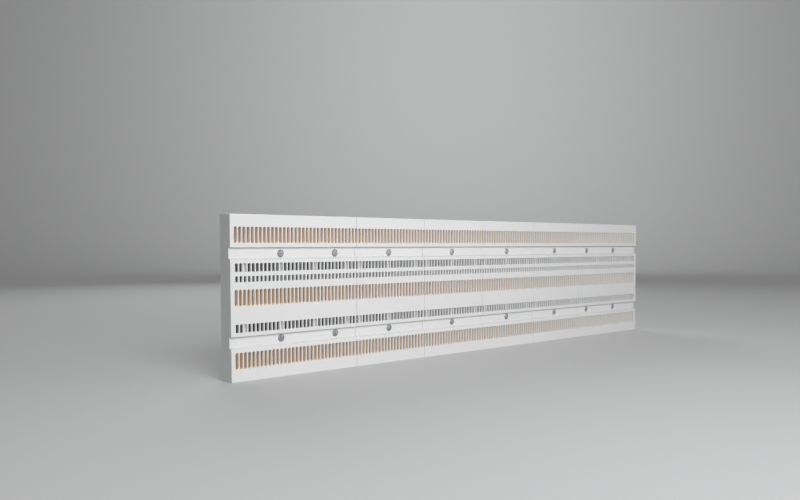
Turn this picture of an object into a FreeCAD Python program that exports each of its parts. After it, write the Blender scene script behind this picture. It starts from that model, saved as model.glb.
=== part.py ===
# A compact busbar board: three copper bars on moulded bases, behind slotted and grooved touch-proof covers.
# Each piece is modelled with X along the board, Y from the front face towards the back, and Z up.
import FreeCAD
import Part
import Sketcher
import os

# Driving dimensions, in millimetres, and counts
SIZES = {
    "slot_pitch": 4.5,
    "middle_pitches": 22,
    "end_pitches": 32,
    "end_margin": 6.0,
    "right_margin": 7.5,
    "seam_gap": 0.4,
    "board_height": 160,
    "board_depth": 18.5,
    "cover_wall": 2.3,
    "end_wall": 2.5,
    "groove_offset": 42.5,
    "groove_drop": 0.3,
    "groove_height": 11.8,
    "groove_depth": 3.2,
    "groove_slant": 1.7,
    "groove_wall": 1.5,
    "bar_spacing": 60,
    "bar_width": 20,
    "bar_thickness": 5,
    "bar_gap": 0.2,
    "bar_end_gap": 1.0,
    "bar_slot_height": 16,
    "bar_slot_width": 3.3,
    "contact_slot_offset": 29,
    "contact_slot_height": 7.9,
    "contact_slot_width": 3.1,
    "contact_shift": 0.7,
    "sensing_slot_offset": 18,
    "sensing_slot_height": 5.5,
    "sensing_slot_width": 2.7,
    "rib_pitches": 9,
    "rib_depth": 3.0,
    "rib_overlap": 0.5,
    "left_first_rib": 2,
    "inner_first_rib": 1,
    "left_rib_count": 4,
    "middle_rib_count": 3,
    "right_rib_count": 4,
    "screw_offset": 41.9,
    "end_screw_offset": 74.25,
    "screw_step": 66.4,
    "well_diameter": 7.4,
    "head_diameter": 6.4,
    "head_height": 2.6,
    "head_recess": 0.2,
    "head_chamfer": 0.3,
    "thread_diameter": 4.0,
    "waist_diameter": 3.2,
    "thread_clearance": 0.3,
    "shank_length": 20.6,
    "shank_hole": 3.7,
    "boss_diameter": 11.5,
    "base_plate": 3.0,
    "base_clearance": 0.3,
    "rail_width": 12,
}
MIDDLE_COVERS = 4

doc = FreeCAD.newDocument("busbar_board")
sheet = doc.addObject("Spreadsheet::Sheet", "dim")
for row, (alias, value) in enumerate(SIZES.items(), start=1):
    sheet.set(f"A{row}", alias)
    sheet.set(f"B{row}", str(value))
    sheet.setAlias(f"B{row}", alias)
doc.recompute()

# Places along the board, as expressions of the sheet's cells
MIDDLE_LENGTH = "dim.middle_pitches * dim.slot_pitch"
LEFT_LENGTH = "(dim.end_margin + dim.end_pitches * dim.slot_pitch)"
RIGHT_LENGTH = "(dim.right_margin + (dim.end_pitches - 1) * dim.slot_pitch)"
BOARD_LENGTH = f"({LEFT_LENGTH} + {RIGHT_LENGTH} + {MIDDLE_COVERS} * {MIDDLE_LENGTH})"
HALF_SEAM = "dim.seam_gap / 2"

# Places through the depth, from the front face
GROOVE_BACK = "(dim.groove_depth + dim.cover_wall)"
BAR_FRONT = "(dim.cover_wall + dim.bar_gap)"
BAR_BACK = f"({BAR_FRONT} + dim.bar_thickness)"
PLATE_FRONT = "(dim.board_depth - dim.base_plate)"
HEAD_FRONT = "(dim.groove_depth + dim.head_recess)"
HEAD_SEAT = f"({HEAD_FRONT} + dim.head_height)"
SHANK_TIP = f"({HEAD_SEAT} + dim.shank_length)"
THREAD_START = "(dim.board_depth + dim.thread_clearance)"

# Heights of the bars, slot rows and grooves
CENTRE = "dim.board_height / 2"
BAR_HEIGHTS = {
    "lower": f"({CENTRE} - dim.bar_spacing)",
    "centre": f"({CENTRE})",
    "upper": f"({CENTRE} + dim.bar_spacing)",
}
GROOVE_HEIGHTS = {
    "lower": f"({CENTRE} - dim.groove_offset - dim.groove_drop)",
    "upper": f"({CENTRE} + dim.groove_offset - dim.groove_drop)",
}
SCREW_HEIGHTS = {
    "lower": f"({CENTRE} - dim.screw_offset)",
    "upper": f"({CENTRE} + dim.screw_offset)",
}
CONTACT_HEIGHTS = (f"({CENTRE} - dim.contact_slot_offset)", f"({CENTRE} + dim.contact_slot_offset)")
SENSING_HEIGHT = f"({CENTRE} + dim.sensing_slot_offset)"


def origin_feature(body, role):
    return next(feature for feature in body.Origin.OriginFeatures if feature.Role == role)


def new_body(label, x_place):
    """A body whose own origin lies on the board's front bottom edge, at x_place from the board's middle."""
    body = doc.addObject("PartDesign::Body", label)
    body.Label = label
    body.setExpression("Placement.Base.x", x_place)
    body.setExpression("Placement.Base.y", f"-{SHANK_TIP} / 2")
    return body


def new_sketch(body, role, name, offset="0"):
    sketch = body.newObject("Sketcher::SketchObject", name)
    sketch.AttachmentSupport = (origin_feature(body, role), [""])
    sketch.MapMode = "FlatFace"
    sketch.setExpression("AttachmentOffset.Base.z", offset)
    return sketch


def hold(sketch, kind, references, start, expression):
    """Adds a dimension and binds it to an expression."""
    index = sketch.addConstraint(Sketcher.Constraint(kind, *references, start))
    sketch.setExpression(f"Constraints[{index}]", expression)


def hold_point(sketch, geometry, point, start, across, up):
    """Holds one point of the sketch at its two distances from the sketch's origin."""
    hold(sketch, "DistanceX", (-1, 1, geometry, point), start.x, across)
    hold(sketch, "DistanceY", (-1, 1, geometry, point), start.y, up)


def draw_outline(sketch, corners):
    """A closed outline of straight edges. The dimensions move each corner from its start to its place."""
    first = sketch.GeometryCount
    count = len(corners)
    starts = [FreeCAD.Vector(first + step, step * step + 1, 0) for step in range(count)]
    for step in range(count):
        sketch.addGeometry(Part.LineSegment(starts[step], starts[(step + 1) % count]), False)
    for step in range(count):
        following = first + (step + 1) % count
        sketch.addConstraint(Sketcher.Constraint("Coincident", first + step, 2, following, 1))
    for step, (across, up) in enumerate(corners):
        hold_point(sketch, first + step, 1, starts[step], across, up)


def draw_rectangle(sketch, middle, height, width, tall):
    left = f"{middle} - ({width}) / 2"
    right = f"{middle} + ({width}) / 2"
    low = f"{height} - ({tall}) / 2"
    high = f"{height} + ({tall}) / 2"
    draw_outline(sketch, [(left, low), (right, low), (right, high), (left, high)])


def draw_circle(sketch, middle, height, diameter):
    start = FreeCAD.Vector(sketch.GeometryCount + 1, 1, 0)
    geometry = sketch.addGeometry(Part.Circle(start, FreeCAD.Vector(0, 0, 1), 1), False)
    hold_point(sketch, geometry, 3, start, middle, height)
    hold(sketch, "Diameter", (geometry,), 2, diameter)


def add_feature(body, kind, name, sketch, length, reverse=False):
    feature = body.newObject(kind, name)
    feature.Profile = sketch
    feature.setExpression("Length", length)
    feature.Reversed = reverse
    sketch.Visibility = False
    return feature


def copy_body(label, original, x_place):
    """A further piece like the original, at its own place along the board."""
    body = new_body(label, x_place)
    copy = doc.addObject("PartDesign::FeatureBase", f"{label}_copy")
    body.Group = [copy]
    body.Tip = copy
    copy.BaseFeature = original
    return body


def add_row(body, feature, name, spacing, count):
    """Repeats a feature along the board."""
    pattern = body.newObject("PartDesign::LinearPattern", name)
    pattern.Originals = [feature]
    pattern.Direction = (origin_feature(body, "X_Axis"), [""])
    pattern.Mode = "Spacing"
    pattern.setExpression("Offset", spacing)
    pattern.setExpression("Occurrences", count)
    pattern.Refine = False
    body.Tip = pattern


def front_outline():
    """The cover's outer line, from its back edge below to its back edge above, with its two grooves."""
    line = [("dim.board_depth", "0"), ("0", "0")]
    for groove in ("lower", "upper"):
        low = f"{GROOVE_HEIGHTS[groove]} - dim.groove_height / 2"
        high = f"{GROOVE_HEIGHTS[groove]} + dim.groove_height / 2"
        line += [("0", low), ("dim.groove_depth", f"{low} + dim.groove_slant")]
        line += [("dim.groove_depth", high), ("0", high)]
    return line + [("0", "dim.board_height"), ("dim.board_depth", "dim.board_height")]


def inner_outline():
    """The cover's inner line, from its back edge above to its back edge below, round the grooves' backs."""
    ceiling = "dim.board_height - dim.cover_wall"
    line = [("dim.board_depth", ceiling), ("dim.cover_wall", ceiling)]
    for groove in ("upper", "lower"):
        low = f"{GROOVE_HEIGHTS[groove]} - dim.groove_height / 2 - dim.groove_wall"
        high = f"{GROOVE_HEIGHTS[groove]} + dim.groove_height / 2 + dim.groove_wall"
        line += [("dim.cover_wall", high), (GROOVE_BACK, high)]
        line += [(GROOVE_BACK, f"{low} + dim.groove_slant"), ("dim.cover_wall", low)]
    return line + [("dim.cover_wall", "dim.cover_wall"), ("dim.board_depth", "dim.cover_wall")]


def make_cover(label, x_place, length, columns, ribs, screws, end_walls):
    """One cover: a thin moulded channel with its grooves, slots, closing ribs, screw wells and end wall."""
    first_column, column_count = columns
    first_rib, rib_count = ribs
    body = new_body(label, x_place)

    section = new_sketch(body, "YZ_Plane", f"{label}_section")
    draw_outline(section, front_outline() + inner_outline())
    add_feature(body, "PartDesign::Pad", f"{label}_channel", section, length)

    for end_place in end_walls:
        end_face = new_sketch(body, "YZ_Plane", f"{label}_end_face", end_place)
        draw_outline(end_face, front_outline())
        add_feature(body, "PartDesign::Pad", f"{label}_end_wall", end_face, "dim.end_wall")

    # Ribs behind the wall close a contact slot at even steps
    rib_face = new_sketch(body, "XZ_Plane", f"{label}_rib_face", "-dim.cover_wall")
    contact_column = f"{first_column} + dim.contact_shift"
    rib_place = f"{contact_column} + {first_rib} * dim.slot_pitch"
    rib_width = "dim.contact_slot_width + 2 * dim.rib_overlap"
    rib_height = "dim.contact_slot_height + 2 * dim.rib_overlap"
    for contact_height in CONTACT_HEIGHTS:
        draw_rectangle(rib_face, rib_place, contact_height, rib_width, rib_height)
    rib = add_feature(body, "PartDesign::Pad", f"{label}_rib", rib_face, "dim.rib_depth", reverse=True)
    add_row(body, rib, f"{label}_rib_row", "dim.rib_pitches * dim.slot_pitch", rib_count)

    # Wells in the grooves' floors let the screw heads through
    wells = new_sketch(body, "XZ_Plane", f"{label}_wells")
    for screw_place in screws:
        for screw_height in SCREW_HEIGHTS.values():
            draw_circle(wells, screw_place, screw_height, "dim.well_diameter")
    add_feature(body, "PartDesign::Pocket", f"{label}_screw_wells", wells, f"{GROOVE_BACK} + dim.bar_gap")

    # One column of slots: three for the bars, two for the contacts and one for sensing
    column = new_sketch(body, "XZ_Plane", f"{label}_slot_column")
    for bar_height in BAR_HEIGHTS.values():
        draw_rectangle(column, first_column, bar_height, "dim.bar_slot_width", "dim.bar_slot_height")
    for contact_height in CONTACT_HEIGHTS:
        draw_rectangle(
            column, contact_column, contact_height, "dim.contact_slot_width", "dim.contact_slot_height")
    draw_rectangle(
        column, contact_column, SENSING_HEIGHT, "dim.sensing_slot_width", "dim.sensing_slot_height")
    slots = add_feature(body, "PartDesign::Pocket", f"{label}_slots", column, BAR_FRONT)
    slots.Refine = False
    add_row(body, slots, f"{label}_slot_rows", "dim.slot_pitch", column_count)
    return body


def make_base(label, x_place, length, screws):
    """One base: a plate with a rail for each bar and a bored boss for each fixing screw."""
    body = new_body(label, x_place)
    low = "dim.cover_wall + dim.base_clearance"
    high = f"dim.board_height - ({low})"
    line = [(PLATE_FRONT, low)]
    for bar_height in BAR_HEIGHTS.values():
        rail_low = f"{bar_height} - dim.rail_width / 2"
        rail_high = f"{bar_height} + dim.rail_width / 2"
        line += [(PLATE_FRONT, rail_low), (BAR_BACK, rail_low)]
        line += [(BAR_BACK, rail_high), (PLATE_FRONT, rail_high)]
    line += [(PLATE_FRONT, high), ("dim.board_depth", high), ("dim.board_depth", low)]
    section = new_sketch(body, "YZ_Plane", f"{label}_section")
    draw_outline(section, line)
    add_feature(body, "PartDesign::Pad", f"{label}_tray", section, length)

    boss_height = f"{PLATE_FRONT} - {GROOVE_BACK}"
    bore_depth = f"{HEAD_SEAT} - {GROOVE_BACK}"
    boss_steps = (
        ("PartDesign::Pad", "bosses", f"-{PLATE_FRONT}", "dim.boss_diameter", boss_height),
        ("PartDesign::Pocket", "head_bores", f"-{GROOVE_BACK}", "dim.well_diameter", bore_depth),
        ("PartDesign::Pocket", "shank_bores", f"-{GROOVE_BACK}", "dim.shank_hole", "dim.board_depth"),
    )
    for kind, name, offset, diameter, depth in boss_steps:
        circles = new_sketch(body, "XZ_Plane", f"{label}_{name}_sketch", offset)
        for screw_place in screws:
            for screw_height in SCREW_HEIGHTS.values():
                draw_circle(circles, screw_place, screw_height, diameter)
        body.Tip = add_feature(body, kind, f"{label}_{name}", circles, depth)
    return body


def make_bar(label, height):
    """One flat copper bar, seated on the rails of all the bases."""
    bar = doc.addObject("Part::Box", label)
    bar.Label = label
    inset = "(dim.end_wall + dim.bar_end_gap)"
    bar.setExpression("Length", f"{BOARD_LENGTH} - 2 * {inset}")
    bar.setExpression("Width", "dim.bar_thickness")
    bar.setExpression("Height", "dim.bar_width")
    bar.setExpression("Placement.Base.x", f"{inset} - {BOARD_LENGTH} / 2")
    bar.setExpression("Placement.Base.y", f"{BAR_FRONT} - {SHANK_TIP} / 2")
    bar.setExpression("Placement.Base.z", f"{height} - dim.bar_width / 2")
    return bar


def make_screw(label, x_place):
    """One captive cheese-head screw, seated in its boss, with its threaded end standing out of the back."""
    body = new_body(label, x_place)
    head_edge = "dim.head_diameter / 2"
    waist_edge = "dim.waist_diameter / 2"
    thread_edge = "dim.thread_diameter / 2"
    profile = new_sketch(body, "XY_Plane", f"{label}_profile")
    draw_outline(profile, [
        ("0", HEAD_FRONT),
        (f"{head_edge} - dim.head_chamfer", HEAD_FRONT),
        (head_edge, f"{HEAD_FRONT} + dim.head_chamfer"),
        (head_edge, HEAD_SEAT),
        (waist_edge, HEAD_SEAT),
        (waist_edge, THREAD_START),
        (thread_edge, THREAD_START),
        (thread_edge, f"{SHANK_TIP} - dim.head_chamfer"),
        (f"{thread_edge} - dim.head_chamfer", SHANK_TIP),
        ("0", SHANK_TIP),
    ])
    turned = body.newObject("PartDesign::Revolution", f"{label}_turned")
    turned.Profile = profile
    turned.ReferenceAxis = (profile, ["V_Axis"])
    turned.Angle = 360
    return body


pieces = []

# The fixing screws stand evenly about the board's middle: one to each middle section and two to each end
inner_screw = f"({MIDDLE_COVERS - 1} / 2 * {MIDDLE_LENGTH} + dim.end_screw_offset)"
outer_screw = f"({inner_screw} + dim.screw_step)"
left_screws = [f"-{outer_screw}", f"-{inner_screw}"]
middle_screws = [f"({step} - {MIDDLE_COVERS - 1} / 2) * {MIDDLE_LENGTH}" for step in range(MIDDLE_COVERS)]
right_screws = [inner_screw, outer_screw]
screw_places = left_screws + middle_screws + right_screws


def places_within(screws, x_place):
    """The screws' places counted from the start of the section that begins at x_place."""
    return [f"{screw} - ({x_place})" for screw in screws]


# Sections in order from the left end, each with its place, its slot columns, its ribs and its screws
base_inset = "(dim.end_wall + dim.base_clearance)"
left_end = f"-{BOARD_LENGTH} / 2"
left_length = f"{LEFT_LENGTH} - {HALF_SEAM}"
left_base_place = f"{left_end} + {base_inset}"
pieces.append(make_cover(
    "end_cover_left", left_end, left_length, ("dim.end_margin", "dim.end_pitches + 1"),
    ("dim.left_first_rib", "dim.left_rib_count"), places_within(left_screws, left_end), ["0"]))
pieces.append(make_base(
    "end_base_left", left_base_place, f"{left_length} - {base_inset}",
    places_within(left_screws, left_base_place)))

# The middle sections are alike, so the later ones are copies of the first
middle_length = f"{MIDDLE_LENGTH} - dim.seam_gap"
middle_places = [
    f"{left_end} + {LEFT_LENGTH} + {step} * {MIDDLE_LENGTH} + {HALF_SEAM}" for step in range(MIDDLE_COVERS)]
first_screws = places_within(middle_screws[:1], middle_places[0])
middle_cover = make_cover(
    "middle_cover_1", middle_places[0], middle_length, (f"-{HALF_SEAM}", "dim.middle_pitches + 1"),
    ("dim.inner_first_rib", "dim.middle_rib_count"), first_screws, [])
middle_base = make_base("middle_base_1", middle_places[0], middle_length, first_screws)
pieces += [middle_cover, middle_base]
for number, place in enumerate(middle_places[1:], start=2):
    pieces.append(copy_body(f"middle_cover_{number}", middle_cover, place))
    pieces.append(copy_body(f"middle_base_{number}", middle_base, place))

# The right end is a little shorter than the left, with one column of slots fewer
right_place = f"{BOARD_LENGTH} / 2 - {RIGHT_LENGTH} + {HALF_SEAM}"
right_length = f"{RIGHT_LENGTH} - {HALF_SEAM}"
pieces.append(make_cover(
    "end_cover_right", right_place, right_length, (f"-{HALF_SEAM}", "dim.end_pitches"),
    ("dim.inner_first_rib", "dim.right_rib_count"), places_within(right_screws, right_place),
    [f"{right_length} - dim.end_wall"]))
pieces.append(make_base(
    "end_base_right", right_place, f"{right_length} - {base_inset}",
    places_within(right_screws, right_place)))

for name, bar_height in BAR_HEIGHTS.items():
    pieces.append(make_bar(f"busbar_{name}", bar_height))

# The fixing screws are alike too
first_screw = make_screw("fixing_screw_lower_1", screw_places[0])
for name, screw_height in SCREW_HEIGHTS.items():
    for number, screw_place in enumerate(screw_places, start=1):
        label = f"fixing_screw_{name}_{number}"
        screw = first_screw if label == first_screw.Label else copy_body(label, first_screw, screw_place)
        screw.setExpression("Placement.Base.z", screw_height)
        pieces.append(screw)

doc.recompute()

# Every feature and every piece is sound before anything is written
for thing in doc.Objects:
    if "Invalid" in thing.State or "Error" in thing.State:
        raise RuntimeError(f"{thing.Name} failed: {thing.State}")
for piece in pieces:
    if piece.Shape.isNull() or not piece.Shape.isValid() or len(piece.Shape.Solids) != 1:
        raise RuntimeError(f"{piece.Label} is not one sound solid")

os.makedirs("parts", exist_ok=True)
for piece in pieces:
    piece.Shape.exportStep(f"parts/{piece.Label}.step")
    box = piece.Shape.BoundBox
    print(piece.Label, round(piece.Shape.Volume, 2), [round(v, 2) for v in (
        box.XMin, box.XMax, box.YMin, box.YMax, box.ZMin, box.ZMax)])
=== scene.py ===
import math

import bmesh
import bpy
from mathutils import Matrix, Vector


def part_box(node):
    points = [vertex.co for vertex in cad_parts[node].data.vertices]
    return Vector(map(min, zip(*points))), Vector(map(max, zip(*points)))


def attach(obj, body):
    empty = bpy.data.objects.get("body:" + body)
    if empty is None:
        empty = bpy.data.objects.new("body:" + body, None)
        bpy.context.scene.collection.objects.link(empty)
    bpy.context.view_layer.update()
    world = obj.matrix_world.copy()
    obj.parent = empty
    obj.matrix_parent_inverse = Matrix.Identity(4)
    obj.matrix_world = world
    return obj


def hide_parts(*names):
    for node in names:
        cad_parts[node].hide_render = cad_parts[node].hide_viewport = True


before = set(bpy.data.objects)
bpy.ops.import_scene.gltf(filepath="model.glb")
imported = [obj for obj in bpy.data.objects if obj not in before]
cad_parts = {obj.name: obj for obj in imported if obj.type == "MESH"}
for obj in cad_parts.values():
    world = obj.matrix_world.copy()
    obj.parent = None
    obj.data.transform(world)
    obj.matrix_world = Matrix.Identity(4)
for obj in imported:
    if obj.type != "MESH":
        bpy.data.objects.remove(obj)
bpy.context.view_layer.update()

# Bases
# Six trays of near-black plastic, injection moulded, that carry the bars on rails.
# They close the covers from behind, so only their backs and what shows through the slots are seen.
MM = 0.001
END_NAMES = ("left", "right")
MIDDLE_COUNT = 4
BASE_BLACK = (0.022, 0.022, 0.024, 1.0)
BASE_TONE_DRIFT = 0.5
BASE_GLOSS = 0.3
BASE_ROUGHNESS = 0.42
BASE_GRAIN = 900.0
BASE_GRAIN_DEPTH = 0.02 * MM
FLOW_SCALE = 14.0
FLOW_DETAIL = 3.0
FLOW_AVERAGE = 0.5
GRAIN_DETAIL = 2.0
GRAIN_DULLING = 0.12
GRAIN_RELIEF = 0.5


def add_noise(nodes, link, place, detail):
    """A noise texture that reads the given coordinates."""
    noise = nodes.new("ShaderNodeTexNoise")
    noise.inputs["Detail"].default_value = detail
    link(place, noise.inputs["Vector"])
    return noise


def make_moulded_grain():
    """A shader group for moulded plastic: a tone that drifts as the melt flowed, and a fine grain."""
    group = bpy.data.node_groups.new("moulded_grain", "ShaderNodeTree")
    sockets = (
        ("Plastic", "INPUT", "NodeSocketColor"),
        ("Grain Scale", "INPUT", "NodeSocketFloat"),
        ("Tone Drift", "INPUT", "NodeSocketFloat"),
        ("Roughness", "INPUT", "NodeSocketFloat"),
        ("Color", "OUTPUT", "NodeSocketColor"),
        ("Roughness", "OUTPUT", "NodeSocketFloat"),
        ("Height", "OUTPUT", "NodeSocketFloat"),
    )
    for name, direction, kind in sockets:
        group.interface.new_socket(name, in_out=direction, socket_type=kind)
    nodes = group.nodes
    link = group.links.new
    inputs = nodes.new("NodeGroupInput")
    outputs = nodes.new("NodeGroupOutput")
    place = nodes.new("ShaderNodeTexCoord").outputs["Object"]
    flow = add_noise(nodes, link, place, FLOW_DETAIL)
    flow.inputs["Scale"].default_value = FLOW_SCALE
    grain = add_noise(nodes, link, place, GRAIN_DETAIL)
    link(inputs.outputs["Grain Scale"], grain.inputs["Scale"])

    drift = nodes.new("ShaderNodeMath")
    drift.operation = "SUBTRACT"
    drift.inputs[1].default_value = FLOW_AVERAGE
    link(flow.outputs["Fac"], drift.inputs[0])
    tone = nodes.new("ShaderNodeMath")
    tone.operation = "MULTIPLY_ADD"
    tone.inputs[2].default_value = 1.0
    link(drift.outputs["Value"], tone.inputs[0])
    link(inputs.outputs["Tone Drift"], tone.inputs[1])
    tint = nodes.new("ShaderNodeHueSaturation")
    link(inputs.outputs["Plastic"], tint.inputs["Color"])
    link(tone.outputs["Value"], tint.inputs["Value"])
    link(tint.outputs["Color"], outputs.inputs["Color"])

    dull = nodes.new("ShaderNodeMath")
    dull.operation = "MULTIPLY_ADD"
    dull.inputs[1].default_value = GRAIN_DULLING
    link(grain.outputs["Fac"], dull.inputs[0])
    link(inputs.outputs["Roughness"], dull.inputs[2])
    link(dull.outputs["Value"], outputs.inputs["Roughness"])
    link(grain.outputs["Fac"], outputs.inputs["Height"])
    return group


moulded_grain = make_moulded_grain()


def start_material(name):
    """A new material, its nodes, the call that links them, and its shader."""
    material = bpy.data.materials.new(name)
    material.use_nodes = True
    tree = material.node_tree
    return material, tree.nodes, tree.links.new, tree.nodes["Principled BSDF"]


def add_relief(nodes, link, shader, height, strength, depth):
    """Gives a shader the relief of a texture."""
    relief = nodes.new("ShaderNodeBump")
    relief.inputs["Strength"].default_value = strength
    relief.inputs["Distance"].default_value = depth
    link(height, relief.inputs["Height"])
    link(relief.outputs["Normal"], shader.inputs["Normal"])


def make_plastic(name, colour, tone_drift, gloss, roughness, grain_scale, grain_depth):
    """A moulded plastic that takes its tone, roughness and relief from the grain group."""
    material, nodes, link, shader = start_material(name)
    shader.inputs["Specular IOR Level"].default_value = gloss
    grain = nodes.new("ShaderNodeGroup")
    grain.node_tree = moulded_grain
    grain.inputs["Plastic"].default_value = colour
    grain.inputs["Grain Scale"].default_value = grain_scale
    grain.inputs["Tone Drift"].default_value = tone_drift
    grain.inputs["Roughness"].default_value = roughness
    link(grain.outputs["Color"], shader.inputs["Base Color"])
    link(grain.outputs["Roughness"], shader.inputs["Roughness"])
    add_relief(nodes, link, shader, grain.outputs["Height"], GRAIN_RELIEF, grain_depth)
    return material


def dress_node(name, material):
    """Gives its finish to a solid that stays as it is."""
    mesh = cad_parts[name].data
    mesh.materials.clear()
    mesh.materials.append(material)


base_plastic = make_plastic(
    "base_plastic", BASE_BLACK, BASE_TONE_DRIFT, BASE_GLOSS, BASE_ROUGHNESS, BASE_GRAIN, BASE_GRAIN_DEPTH)
base_names = [f"end_base_{side}" for side in END_NAMES]
base_names += [f"middle_base_{number}" for number in range(1, MIDDLE_COUNT + 1)]
for base_name in base_names:
    dress_node(base_name, base_plastic)

# Busbars
# Three flat bars of bare drawn copper, laid on the rails of all the bases.
# Drawing leaves fine lines along them, and handling and air have dulled them in patches.
BAR_NAMES = ("busbar_lower", "busbar_centre", "busbar_upper")
COPPER_BRIGHT = (0.82, 0.58, 0.375, 1.0)
COPPER_DULL = (0.60, 0.39, 0.235, 1.0)
BRIGHT_ROUGHNESS = 0.12
DULL_ROUGHNESS = 0.28
PATCH_SCALE = 22.0
PATCH_DETAIL = 4.0
DRAW_LINES = (6.0, 900.0, 900.0)
LINE_DETAIL = 2.0
LINE_RELIEF = 0.3
LINE_DEPTH = 0.02 * MM


def make_copper():
    """Bare copper, tarnished in patches, with the lines that drawing left."""
    material, nodes, link, shader = start_material("drawn_copper")
    shader.inputs["Metallic"].default_value = 1.0
    place = nodes.new("ShaderNodeTexCoord").outputs["Object"]
    patches = add_noise(nodes, link, place, PATCH_DETAIL)
    patches.inputs["Scale"].default_value = PATCH_SCALE
    tarnish = nodes.new("ShaderNodeMix")
    tarnish.data_type = "RGBA"
    tarnish.inputs["A"].default_value = COPPER_BRIGHT
    tarnish.inputs["B"].default_value = COPPER_DULL
    link(patches.outputs["Fac"], tarnish.inputs["Factor"])
    link(tarnish.outputs["Result"], shader.inputs["Base Color"])
    dull = nodes.new("ShaderNodeMapRange")
    dull.inputs["To Min"].default_value = BRIGHT_ROUGHNESS
    dull.inputs["To Max"].default_value = DULL_ROUGHNESS
    link(patches.outputs["Fac"], dull.inputs["Value"])
    link(dull.outputs["Result"], shader.inputs["Roughness"])

    stretch = nodes.new("ShaderNodeMapping")
    stretch.inputs["Scale"].default_value = DRAW_LINES
    link(place, stretch.inputs["Vector"])
    lines = add_noise(nodes, link, stretch.outputs["Vector"], LINE_DETAIL)
    lines.inputs["Scale"].default_value = 1.0
    add_relief(nodes, link, shader, lines.outputs["Fac"], LINE_RELIEF, LINE_DEPTH)
    return material


drawn_copper = make_copper()
for bar_name in BAR_NAMES:
    dress_node(bar_name, drawn_copper)

# Covers
# Six touch-proof covers of light grey plastic, injection moulded, with rows of slots and two long grooves.
# Each is a thin channel that closes over its base, and its columns of slots repeat at one pitch.
COVER_GREY = (0.76, 0.765, 0.76, 1.0)
COVER_TONE_DRIFT = 0.03
COVER_GLOSS = 0.5
COVER_ROUGHNESS = 0.26
COVER_GRAIN = 1400.0
COVER_GRAIN_DEPTH = 0.006 * MM
COVER_WALL = 2.3 * MM
END_WALL = 2.5 * MM
SEAM_GAP = 0.4 * MM
SLOT_PITCH = 4.5 * MM
END_COLUMNS = 32
MIDDLE_COLUMNS = 22

# Each row of slots: its place, its size and shift along the board, and whether ribs close some of its slots
BAR_SPACING = 60.0 * MM
BAR_SLOT = {
    "width": 3.3 * MM, "tall": 16.0 * MM, "shift": 0.0,
    "corner": 1.58 * MM, "corner_steps": 5, "closes": False}
CONTACT_OFFSET = 29.0 * MM
CONTACT_SLOT = {
    "width": 3.1 * MM, "tall": 7.9 * MM, "shift": 0.7 * MM,
    "corner": 0.3 * MM, "corner_steps": 2, "closes": True}
SENSING_OFFSET = 18.0 * MM
SENSING_SLOT = {
    "width": 2.7 * MM, "tall": 5.5 * MM, "shift": 0.7 * MM,
    "corner": 0.3 * MM, "corner_steps": 2, "closes": False}

# The columns whose contact slots ribs close, and the ribs themselves
RIB_STEP = 9
LEFT_FIRST_RIB = 2
INNER_FIRST_RIB = 1
RIB_DEPTH = 2.5 * MM
RIB_OVERLAP = 0.5 * MM
CLOSED_SLOT_DEPTH = 4.5 * MM

# The grooves, with a slanted lower flank, and the wells in their floors
GROOVE_OFFSET = 42.5 * MM
GROOVE_DROP = 0.3 * MM
GROOVE_HEIGHT = 11.8 * MM
GROOVE_DEPTH = 3.2 * MM
GROOVE_SLANT = 1.7 * MM
GROOVE_WALL = 1.5 * MM
GROOVE_BACK = GROOVE_DEPTH + COVER_WALL
SCREWS_IN_GROOVE = 8
WELL_DIAMETER = 7.4 * MM
WELL_SIDES = 32
WELL_CHAMFER = 0.12 * MM

# Edges
EDGE_ROUND = 0.5 * MM
GROOVE_ROUND = 0.3 * MM
ROUND_STEPS = 2
RIM_CHAMFER = 0.07 * MM
SEAM_CHAMFER = 0.15 * MM
SMOOTH_ANGLE = math.radians(20)
MOST_WALL_TILT = 0.1
LEAST_FRONT_TILT = 0.9
TINY = 0.001 * MM

cover_low, cover_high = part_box("end_cover_left")
FRONT = cover_low.y
BACK = cover_high.y
BOARD_HEIGHT = cover_high.z
CENTRE = BOARD_HEIGHT / 2

# Columns count from the first seam, so those of the left cover are negative
FIRST_SEAM = cover_high.x + SEAM_GAP / 2
RIGHT_FIRST_COLUMN = MIDDLE_COUNT * MIDDLE_COLUMNS
LAST_COLUMN = RIGHT_FIRST_COLUMN + END_COLUMNS - 1

slot_rows = [(CENTRE + step * BAR_SPACING, BAR_SLOT) for step in (-1, 0, 1)]
slot_rows += [(CENTRE + side * CONTACT_OFFSET, CONTACT_SLOT) for side in (-1, 1)]
slot_rows.append((CENTRE + SENSING_OFFSET, SENSING_SLOT))
groove_heights = [CENTRE + side * GROOVE_OFFSET - GROOVE_DROP for side in (-1, 1)]
screw_nodes = [
    f"fixing_screw_{row}_{number}"
    for row in ("lower", "upper") for number in range(1, SCREWS_IN_GROOVE + 1)]
cover_plastic = make_plastic(
    "cover_plastic", COVER_GREY, COVER_TONE_DRIFT, COVER_GLOSS, COVER_ROUGHNESS, COVER_GRAIN,
    COVER_GRAIN_DEPTH)


def cell_half(slot):
    """Half the height of the cell round a slot, whose rim is as wide above and below as at the sides."""
    return (slot["tall"] + SLOT_PITCH - slot["width"]) / 2


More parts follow.
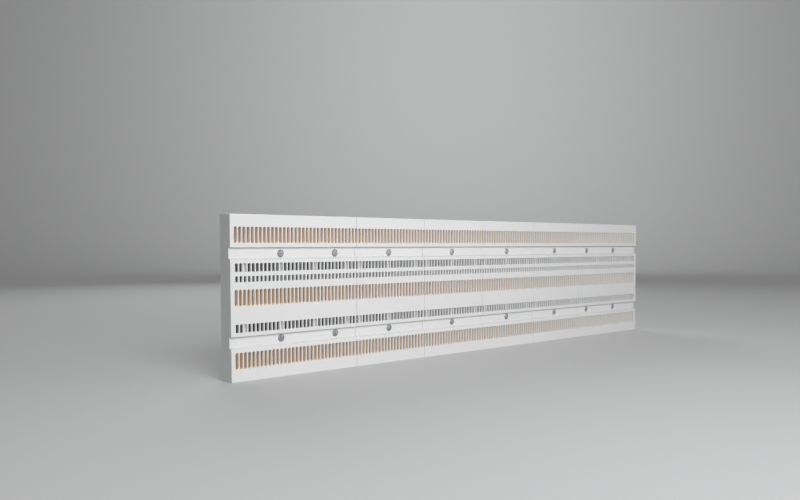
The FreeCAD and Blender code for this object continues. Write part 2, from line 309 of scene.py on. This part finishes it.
def section_line():
    """The channel's closed section, up the front and down the inside, as shifts, depths and heights."""
    full_depth = BACK - FRONT
    ceiling = BOARD_HEIGHT - COVER_WALL
    outer = [(0.0, full_depth, 0.0), (0.0, 0.0, 0.0)]
    inner = [(0.0, full_depth, COVER_WALL), (0.0, COVER_WALL, COVER_WALL)]
    levels = slot_rows + [(height, None) for height in groove_heights]
    for height, slot in sorted(levels, key=lambda level: level[0]):
        if slot:
            for edge in (height - cell_half(slot), height + cell_half(slot)):
                outer.append((slot["shift"], 0.0, edge))
                inner.append((slot["shift"], COVER_WALL, edge))
        else:
            low = height - GROOVE_HEIGHT / 2
            high = height + GROOVE_HEIGHT / 2
            outer += [(0.0, 0.0, low), (0.0, GROOVE_DEPTH, low + GROOVE_SLANT)]
            outer += [(0.0, GROOVE_DEPTH, high), (0.0, 0.0, high)]
            inner.append((0.0, COVER_WALL, low - GROOVE_WALL))
            inner.append((0.0, GROOVE_BACK, low + GROOVE_SLANT - GROOVE_WALL))
            inner.append((0.0, GROOVE_BACK, high + GROOVE_WALL))
            inner.append((0.0, COVER_WALL, high + GROOVE_WALL))
    outer += [(0.0, 0.0, BOARD_HEIGHT), (0.0, full_depth, BOARD_HEIGHT)]
    inner += [(0.0, COVER_WALL, ceiling), (0.0, full_depth, ceiling)]
    return outer + inner[::-1]


def bevel_edges(bm, edges, size, steps):
    """Rounds edges, or breaks them in one step."""
    bmesh.ops.bevel(
        bm, geom=edges, offset=size, segments=steps, profile=0.5, affect="EDGES", material=-1,
        clamp_overlap=True)


def round_corner(bm, height, radius):
    """Rounds the edge that runs along the front at one height."""
    corner = [
        edge for edge in bm.edges
        if all(abs(v.co.y - FRONT) < TINY and abs(v.co.z - height) < TINY for v in edge.verts)]
    bevel_edges(bm, corner, radius, ROUND_STEPS)


def plain_column():
    """One pitch of the channel with no slots, its long edges rounded, open at both sides."""
    bm = bmesh.new()
    points = [
        bm.verts.new((shift - SLOT_PITCH / 2, FRONT + depth, height))
        for shift, depth, height in section_line()]
    section = [bm.edges.new((points[step - 1], points[step])) for step in range(len(points))]
    pulled = bmesh.ops.extrude_edge_only(bm, edges=section)["geom"]
    far_points = [item for item in pulled if isinstance(item, bmesh.types.BMVert)]
    bmesh.ops.translate(bm, verts=far_points, vec=(SLOT_PITCH, 0, 0))
    bmesh.ops.recalc_face_normals(bm, faces=bm.faces)
    for height in (0.0, BOARD_HEIGHT):
        round_corner(bm, height, EDGE_ROUND)
    for groove in groove_heights:
        for height in (groove - GROOVE_HEIGHT / 2, groove + GROOVE_HEIGHT / 2):
            round_corner(bm, height, GROOVE_ROUND)
    return bm


def cell_face(bm, depth, height):
    """The face of a column's own cell at that depth and height."""
    place = Vector((FRONT + depth, height))
    return min(bm.faces, key=lambda face: (face.calc_center_median().yz - place).length)


def inset_cell(bm, face, margin):
    """Leaves a rim of even width round a cell's face."""
    bmesh.ops.inset_individual(bm, faces=[face], thickness=margin, use_even_offset=True)


def sink_face(bm, face, distance):
    """Moves a face straight in or out of its surroundings, with walls round it."""
    bmesh.ops.inset_individual(bm, faces=[face], thickness=0.0, depth=distance)


def cut_slot(bm, height, slot, closed):
    """Cuts one slot through a column, or only into it where a rib closes it from behind."""
    front = cell_face(bm, 0.0, height)
    back = cell_face(bm, COVER_WALL, height)
    margin = (SLOT_PITCH - slot["width"]) / 2
    inset_cell(bm, front, margin)
    if closed:
        inset_cell(bm, back, margin - RIB_OVERLAP)
        sink_face(bm, front, -CLOSED_SLOT_DEPTH)
        sink_face(bm, back, RIB_DEPTH)
        return
    inset_cell(bm, back, margin)
    rims = list(front.edges) + list(back.edges)
    bmesh.ops.delete(bm, geom=[front, back], context="FACES_ONLY")
    walls = bmesh.ops.bridge_loops(bm, edges=rims)["faces"]
    corners = {
        edge for wall in walls for edge in wall.edges
        if abs(edge.verts[0].co.y - edge.verts[1].co.y) > TINY}
    bevel_edges(bm, list(corners), slot["corner"], slot["corner_steps"])


def chamfer_rims(bm):
    """Takes the sharpness off every slot's front rim, where the front meets a slot's wall."""
    bm.normal_update()
    rims = []
    for edge in bm.edges:
        if len(edge.link_faces) != 2 or any(abs(v.co.y - FRONT) > TINY for v in edge.verts):
            continue
        wall_tilt, front_tilt = sorted(abs(face.normal.y) for face in edge.link_faces)
        if wall_tilt < MOST_WALL_TILT and front_tilt > LEAST_FRONT_TILT:
            rims.append(edge)
    bevel_edges(bm, rims, RIM_CHAMFER, 1)


def column_mesh(name, has_slots, has_ribs):
    """One column as a mesh that is laid again and again: plain, with slots, or with slots and ribs."""
    bm = plain_column()
    if has_slots:
        for height, slot in slot_rows:
            cut_slot(bm, height, slot, has_ribs and slot["closes"])
        chamfer_rims(bm)
    mesh = bpy.data.meshes.new(name)
    bm.to_mesh(mesh)
    bm.free()
    return mesh


plain_tile = column_mesh("plain_column", False, False)
open_tile = column_mesh("open_column", True, False)
ribbed_tile = column_mesh("ribbed_column", True, True)


def lay_columns(bm, x_low, x_high, closed_columns):
    """Lays the columns that reach into one cover side by side and joins them, a little too long for it."""
    first = max(math.floor((x_low - FIRST_SEAM) / SLOT_PITCH) - 1, -END_COLUMNS - 1)
    last = min(math.ceil((x_high - FIRST_SEAM) / SLOT_PITCH) + 1, LAST_COLUMN + 1)
    for column in range(first, last + 1):
        tile = open_tile
        if column < -END_COLUMNS or column > LAST_COLUMN:
            tile = plain_tile
        elif column in closed_columns:
            tile = ribbed_tile
        start = len(bm.verts)
        bm.from_mesh(tile)
        bm.verts.ensure_lookup_table()
        bmesh.ops.translate(bm, verts=bm.verts[start:], vec=(FIRST_SEAM + column * SLOT_PITCH, 0, 0))
    bmesh.ops.remove_doubles(bm, verts=bm.verts, dist=TINY)
    for side in (-1, 1):
        reach = max(side * v.co.x for v in bm.verts)
        rim = [v for v in bm.verts if side * v.co.x > reach - SLOT_PITCH / 2]
        bmesh.ops.translate(bm, verts=rim, vec=(side * SLOT_PITCH, 0, 0))


def drill_well(bm, x_place, height):
    """Opens a round well for a screw head through a groove's floor."""
    radius = WELL_DIAMETER / 2
    reach = radius + GROOVE_ROUND
    rings = []
    for depth in (GROOVE_DEPTH, GROOVE_BACK):
        floor = [
            face for face in bm.faces
            if abs(face.calc_center_median().z - height) < radius
            and all(abs(v.co.y - FRONT - depth) < TINY for v in face.verts)
            and min(v.co.x for v in face.verts) < x_place + reach
            and max(v.co.x for v in face.verts) > x_place - reach]
        joined = bmesh.ops.dissolve_faces(bm, faces=floor)["region"]
        outline = list(joined[0].edges)
        bmesh.ops.delete(bm, geom=joined, context="FACES_ONLY")
        place = Matrix.Translation((x_place, FRONT + depth, height)) @ Matrix.Rotation(math.pi / 2, 4, "X")
        circle = bmesh.ops.create_circle(bm, segments=WELL_SIDES, radius=radius, matrix=place)["verts"]
        ring = list({edge for vertex in circle for edge in vertex.link_edges})
        bmesh.ops.triangle_fill(bm, edges=outline + ring, use_beauty=True)
        rings.append(ring)
    bmesh.ops.bridge_loops(bm, edges=rings[0] + rings[1])
    bevel_edges(bm, rings[0], WELL_CHAMFER, ROUND_STEPS)


def trim(bm, x_place, inward):
    """Cuts the channel square at x_place and keeps what lies inward. Returns the edges of the cut."""
    whole = bm.verts[:] + bm.edges[:] + bm.faces[:]
    cut = bmesh.ops.bisect_plane(
        bm, geom=whole, dist=TINY, plane_co=(x_place, 0, 0), plane_no=(inward, 0, 0),
        clear_inner=True)["geom_cut"]
    return [item for item in cut if isinstance(item, bmesh.types.BMEdge)]


def close_seam(bm, cut):
    """Closes the wall's cut section at a seam, and breaks its front edge."""
    bmesh.ops.edgeloop_fill(bm, edges=cut)
    front_edges = [edge for edge in cut if edge.is_valid and all(v.co.y < FRONT + TINY for v in edge.verts)]
    bevel_edges(bm, front_edges, SEAM_CHAMFER, 1)


def close_end(bm, cut, inward):
    """Closes the channel with its end wall: the inside of the cut moves in by the wall's thickness."""
    back_rims = [edge for edge in cut if all(v.co.y > BACK - TINY for v in edge.verts)]
    outer = {min((v for edge in cut for v in edge.verts), key=lambda v: v.co.y)}
    reached = list(outer)
    while reached:
        vertex = reached.pop()
        for edge in vertex.link_edges:
            if edge in cut and edge not in back_rims and edge.other_vert(vertex) not in outer:
                outer.add(edge.other_vert(vertex))
                reached.append(edge.other_vert(vertex))
    inner = {v for edge in cut for v in edge.verts} - outer
    bmesh.ops.translate(bm, verts=list(inner), vec=(inward * END_WALL, 0, 0))
    for chain in (outer, inner):
        ends = [v for v in chain if v.co.y > BACK - TINY]
        back_rims.append(bm.edges.new(ends))
        chain_edges = [edge for edge in cut if edge.verts[0] in chain and edge.verts[1] in chain]
        bmesh.ops.edgeloop_fill(bm, edges=chain_edges + back_rims[-1:])
    bmesh.ops.edgeloop_fill(bm, edges=back_rims)
    rim = [edge for edge in bm.edges if edge.verts[0] in outer and edge.verts[1] in outer]
    bevel_edges(bm, rim, GROOVE_ROUND, ROUND_STEPS)


def finish_piece(bm, name, node, material):
    """Makes the mesh one piece of the object, in the place of its solid."""
    bmesh.ops.recalc_face_normals(bm, faces=bm.faces)
    mesh = bpy.data.meshes.new(name)
    bm.to_mesh(mesh)
    bm.free()
    mesh.shade_smooth()
    mesh.set_sharp_from_angle(angle=SMOOTH_ANGLE)
    mesh.materials.append(material)
    piece = bpy.data.objects.new(name, mesh)
    bpy.context.scene.collection.objects.link(piece)
    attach(piece, "root")
    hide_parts(node)


def screw_place(node):
    """The place along the board and the height of one fixing screw's axis."""
    low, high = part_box(node)
    return (low.x + high.x) / 2, (low.z + high.z) / 2


def make_cover(node, first_column, column_count, first_rib, walled_side=None):
    """One cover with its slots, ribs and wells, closed by an end wall at the walled side."""
    low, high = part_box(node)
    closed_columns = range(first_column + first_rib, first_column + column_count, RIB_STEP)
    bm = bmesh.new()
    lay_columns(bm, low.x, high.x, closed_columns)
    for screw in screw_nodes:
        across, height = screw_place(screw)
        if low.x < across < high.x:
            drill_well(bm, across, height)
    for side, x_place, inward in (("left", low.x, 1), ("right", high.x, -1)):
        cut = trim(bm, x_place, inward)
        if side == walled_side:
            close_end(bm, cut, inward)
        else:
            close_seam(bm, cut)
    finish_piece(bm, f"touch_cover_{node}", node, cover_plastic)


make_cover("end_cover_left", -END_COLUMNS, END_COLUMNS, LEFT_FIRST_RIB, walled_side="left")
for number in range(MIDDLE_COUNT):
    make_cover(f"middle_cover_{number + 1}", number * MIDDLE_COLUMNS, MIDDLE_COLUMNS, INNER_FIRST_RIB)
make_cover("end_cover_right", RIGHT_FIRST_COLUMN, END_COLUMNS, INNER_FIRST_RIB, walled_side="right")

# Fixing screws
# Sixteen captive cheese-head screws of zinc-plated steel, turned, cross-recessed and with a rolled M4 thread.
# Each sits in its well in a groove and stands out of the back, ready for a mounting plate.
ZINC_BRIGHT = (0.50, 0.51, 0.53, 1.0)
ZINC_DULL = (0.375, 0.3825, 0.3975, 1.0)
ZINC_SMOOTHEST = 0.28
ZINC_ROUGHEST = 0.5
BLOOM_SCALE = 700.0
BLOOM_DETAIL = 3.0
HEAD_HEIGHT = 2.6 * MM
HEAD_ROUND = 0.4 * MM
HEAD_ROUND_STEPS = 3
WAIST_RADIUS = 1.6 * MM
THREAD_RADIUS = 2.0 * MM
THREAD_ROOT = 1.65 * MM
THREAD_PITCH = 0.7 * MM
THREAD_CLEARANCE = 0.3 * MM
CREST_START = 0.4 * THREAD_PITCH
CREST_END = 0.6 * THREAD_PITCH
TIP_CHAMFER = 0.4 * MM
RECESS_REACH = 1.5 * MM
RECESS_DEPTH = 0.4 * MM
RECESS_TAPER = 0.8
RECESS_CELLS = 3
CORNER_REACH = 0.8 * RECESS_REACH
TURN_STEPS = 24


def make_zinc():
    """Zinc plating with a fine uneven bloom."""
    material, nodes, link, shader = start_material("zinc_steel")
    shader.inputs["Metallic"].default_value = 1.0
    place = nodes.new("ShaderNodeTexCoord").outputs["Object"]
    bloom = add_noise(nodes, link, place, BLOOM_DETAIL)
    bloom.inputs["Scale"].default_value = BLOOM_SCALE
    shade = nodes.new("ShaderNodeMix")
    shade.data_type = "RGBA"
    shade.inputs["A"].default_value = ZINC_BRIGHT
    shade.inputs["B"].default_value = ZINC_DULL
    link(bloom.outputs["Fac"], shade.inputs["Factor"])
    link(shade.outputs["Result"], shader.inputs["Base Color"])
    dull = nodes.new("ShaderNodeMapRange")
    dull.inputs["To Min"].default_value = ZINC_SMOOTHEST
    dull.inputs["To Max"].default_value = ZINC_ROUGHEST
    link(bloom.outputs["Fac"], dull.inputs["Value"])
    link(dull.outputs["Result"], shader.inputs["Roughness"])
    return material


zinc_steel = make_zinc()


def screw_profile(head_radius, head_front, tip):
    """Half the screw's outline as distances from its axis and depths, from the head's rim to the tip."""
    line = []
    for step in range(HEAD_ROUND_STEPS + 1):
        turn = step / HEAD_ROUND_STEPS * math.pi / 2
        radius = head_radius - HEAD_ROUND * (1 - math.sin(turn))
        line.append((radius, head_front + HEAD_ROUND * (1 - math.cos(turn))))
    seat = head_front + HEAD_HEIGHT
    thread_start = BACK + THREAD_CLEARANCE
    line += [(head_radius, seat), (WAIST_RADIUS, seat), (WAIST_RADIUS, thread_start)]
    turns = math.floor((tip - TIP_CHAMFER - thread_start) / THREAD_PITCH)
    for turn in range(turns):
        start = thread_start + turn * THREAD_PITCH
        line.append((THREAD_ROOT, start))
        line.append((THREAD_RADIUS, start + CREST_START))
        line.append((THREAD_RADIUS, start + CREST_END))
    line.append((THREAD_ROOT, thread_start + turns * THREAD_PITCH))
    line += [(THREAD_ROOT - TIP_CHAMFER / 2, tip), (0.0, tip)]
    return line


def turn_screw(bm, across, height, profile):
    """Turns a screw from its outline, with the head's face left open."""
    line = [bm.verts.new((across + radius, depth, height)) for radius, depth in profile]
    edges = [bm.edges.new(pair) for pair in zip(line, line[1:])]
    bmesh.ops.spin(
        bm, geom=line + edges, cent=(across, 0, height), axis=(0, 1, 0), angle=2 * math.pi,
        steps=TURN_STEPS, use_merge=True)
    bmesh.ops.remove_doubles(bm, verts=bm.verts, dist=TINY)


def close_head(bm, across, height, head_front):
    """Closes the head round a cross recess: a grid without its corners, pulled in and narrowed."""
    head_ring = [edge for edge in bm.edges if all(abs(v.co.y - head_front) < TINY for v in edge.verts)]
    head_middle = Vector((across, head_front, height))
    place = Matrix.Translation(head_middle) @ Matrix.Rotation(math.pi / 2, 4, "X")
    grid = bmesh.ops.create_grid(
        bm, x_segments=RECESS_CELLS, y_segments=RECESS_CELLS, size=RECESS_REACH, matrix=place)["verts"]
    cells = {face for vertex in grid for face in vertex.link_faces}
    corners = [face for face in cells if (face.calc_center_median() - head_middle).length > CORNER_REACH]
    bmesh.ops.delete(bm, geom=corners, context="FACES")
    cross = [face for face in cells if face.is_valid]
    rim = [edge for edge in {edge for face in cross for edge in face.edges} if len(edge.link_faces) == 1]
    floor = bmesh.ops.extrude_face_region(bm, geom=cross)["geom"]
    floor_points = [item for item in floor if isinstance(item, bmesh.types.BMVert)]
    to_middle = Matrix.Translation(-head_middle)
    bmesh.ops.scale(bm, verts=floor_points, vec=(RECESS_TAPER, 1, RECESS_TAPER), space=to_middle)
    bmesh.ops.translate(bm, verts=floor_points, vec=(0, RECESS_DEPTH, 0))
    bmesh.ops.delete(bm, geom=[face for face in cross if face.is_valid], context="FACES")
    bmesh.ops.triangle_fill(bm, edges=head_ring + [edge for edge in rim if edge.is_valid], use_beauty=True)


def make_screw(node):
    """One screw in the place of its solid, from the head's face to the tip."""
    low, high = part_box(node)
    across, height = screw_place(node)
    bm = bmesh.new()
    turn_screw(bm, across, height, screw_profile((high.z - low.z) / 2, low.y, high.y))
    close_head(bm, across, height, low.y)
    finish_piece(bm, f"captive_{node}", node, zinc_steel)


for screw_node in screw_nodes:
    make_screw(screw_node)

# Studio
# A pale round stage of matt paper that curves up into its own wall, under a dim sky.
# Two large soft lamps stand in front of the board and one behind it, and a fourth lights the wall.
STAGE_GREY = (0.52, 0.525, 0.53, 1.0)
STAGE_ROUGHNESS = 0.9
STAGE_GLOSS = 0.1
STAGE_GLOW = 0.14
STAGE_REACH = 3.2
STAGE_CURVE = 1.6
STAGE_WALL = 3.0
STAGE_STEPS = 12
STAGE_SIDES = 64
WHITE = (1.0, 1.0, 1.0, 1.0)
BOARD_MIDDLE = (0, 0, CENTRE)
KEY_LAMP = {"place": (-0.62, -1.15, 0.62), "target": BOARD_MIDDLE, "size": (0.8, 0.8), "power": 6.3}
SIDE_LAMP = {"place": (1.35, -1.6, 0.52), "target": BOARD_MIDDLE, "size": (0.9, 1.0), "power": 2.4}
BACK_LAMP = {"place": (0.8, 1.7, 1.0), "target": BOARD_MIDDLE, "size": (1.2, 1.2), "power": 5.0}
BACKDROP_LAMP = {"place": (1.2, 1.2, 2.4), "target": (4.0, 4.0, 0.9), "size": (1.5, 1.5), "power": 22.0}
LAMP_SPREAD = math.radians(110)
SKY_STRENGTH = 0.08


def make_stage_paper():
    """Matt paper that shows paler than it is lit, to the camera and in mirrored light only."""
    material, nodes, link, shader = start_material("stage_paper")
    shader.inputs["Base Color"].default_value = STAGE_GREY
    shader.inputs["Roughness"].default_value = STAGE_ROUGHNESS
    shader.inputs["Specular IOR Level"].default_value = STAGE_GLOSS
    path = nodes.new("ShaderNodeLightPath")
    seen = path.outputs["Is Camera Ray"]
    for kind in ("Is Glossy Ray", "Is Transmission Ray"):
        either = nodes.new("ShaderNodeMath")
        either.operation = "MAXIMUM"
        link(seen, either.inputs[0])
        link(path.outputs[kind], either.inputs[1])
        seen = either.outputs["Value"]
    glow = nodes.new("ShaderNodeMath")
    glow.operation = "MULTIPLY"
    glow.inputs[1].default_value = STAGE_GLOW
    link(seen, glow.inputs[0])
    shader.inputs["Emission Color"].default_value = WHITE
    link(glow.outputs["Value"], shader.inputs["Emission Strength"])
    return material


def make_stage():
    """The floor, its curve and the wall, turned from one line."""
    bm = bmesh.new()
    line = [bm.verts.new((0, 0, 0)), bm.verts.new((STAGE_REACH, 0, 0))]
    for step in range(1, STAGE_STEPS + 1):
        turn = step / STAGE_STEPS * math.pi / 2
        reach = STAGE_REACH + STAGE_CURVE * math.sin(turn)
        line.append(bm.verts.new((reach, 0, STAGE_CURVE * (1 - math.cos(turn)))))
    line.append(bm.verts.new((STAGE_REACH + STAGE_CURVE, 0, STAGE_WALL)))
    edges = [bm.edges.new(pair) for pair in zip(line, line[1:])]
    bmesh.ops.spin(
        bm, geom=line + edges, cent=(0, 0, 0), axis=(0, 0, 1), angle=2 * math.pi, steps=STAGE_SIDES,
        use_merge=True)
    bmesh.ops.remove_doubles(bm, verts=bm.verts, dist=TINY)
    bmesh.ops.recalc_face_normals(bm, faces=bm.faces)
    mesh = bpy.data.meshes.new("stage")
    bm.to_mesh(mesh)
    bm.free()
    mesh.shade_smooth()
    mesh.materials.append(make_stage_paper())
    stage = bpy.data.objects.new("stage", mesh)
    bpy.context.scene.collection.objects.link(stage)
    return stage


def add_lamp(name, facts):
    """One large soft lamp that points at its target."""
    lamp = bpy.data.lights.new(name, "AREA")
    lamp.shape = "RECTANGLE"
    lamp.size, lamp.size_y = facts["size"]
    lamp.energy = facts["power"]
    lamp.spread = LAMP_SPREAD
    holder = bpy.data.objects.new(name, lamp)
    holder.location = facts["place"]
    aim = Vector(facts["target"]) - Vector(facts["place"])
    holder.rotation_euler = aim.to_track_quat("-Z", "Y").to_euler()
    holder.visible_camera = False
    bpy.context.scene.collection.objects.link(holder)


make_stage()
add_lamp("key_lamp", KEY_LAMP)
add_lamp("side_lamp", SIDE_LAMP)
add_lamp("back_lamp", BACK_LAMP)
add_lamp("backdrop_lamp", BACKDROP_LAMP)
dim_sky = bpy.data.worlds.new("dim_sky")
dim_sky.use_nodes = True
sky_light = dim_sky.node_tree.nodes["Background"]
sky_light.inputs["Color"].default_value = WHITE
sky_light.inputs["Strength"].default_value = SKY_STRENGTH
bpy.context.scene.world = dim_sky
bpy.context.scene.view_settings.view_transform = "Standard"

# Camera
# It stands left of the board, a little below its upper edge, and looks along the slotted front.
# Its lens and the middle of its view are in pixels of the photograph's frame, and its turns in degrees.
FRAME_WIDTH = 800
FRAME_HEIGHT = 500
FOCAL_PIXELS = 826.2
MIDDLE_ACROSS = 460.0
MIDDLE_DOWN = 282.3
SENSOR_WIDTH = 36.0
CAMERA_FROM_CORNER = Vector((-401.85 * MM, -696.31 * MM, 131.7 * MM))
CAMERA_YAW = 45.532
CAMERA_PITCH = 2.675

camera_data = bpy.data.cameras.new("camera")
camera_data.sensor_width = SENSOR_WIDTH
camera_data.lens = FOCAL_PIXELS * SENSOR_WIDTH / FRAME_WIDTH
camera_data.shift_x = (FRAME_WIDTH / 2 - MIDDLE_ACROSS) / FRAME_WIDTH
camera_data.shift_y = (MIDDLE_DOWN - FRAME_HEIGHT / 2) / FRAME_WIDTH
camera = bpy.data.objects.new("camera", camera_data)
camera.location = Vector((cover_low.x, FRONT, 0)) + CAMERA_FROM_CORNER
camera.rotation_euler = (math.radians(90 - CAMERA_PITCH), 0, math.radians(-CAMERA_YAW))
bpy.context.scene.collection.objects.link(camera)
bpy.context.scene.camera = camera
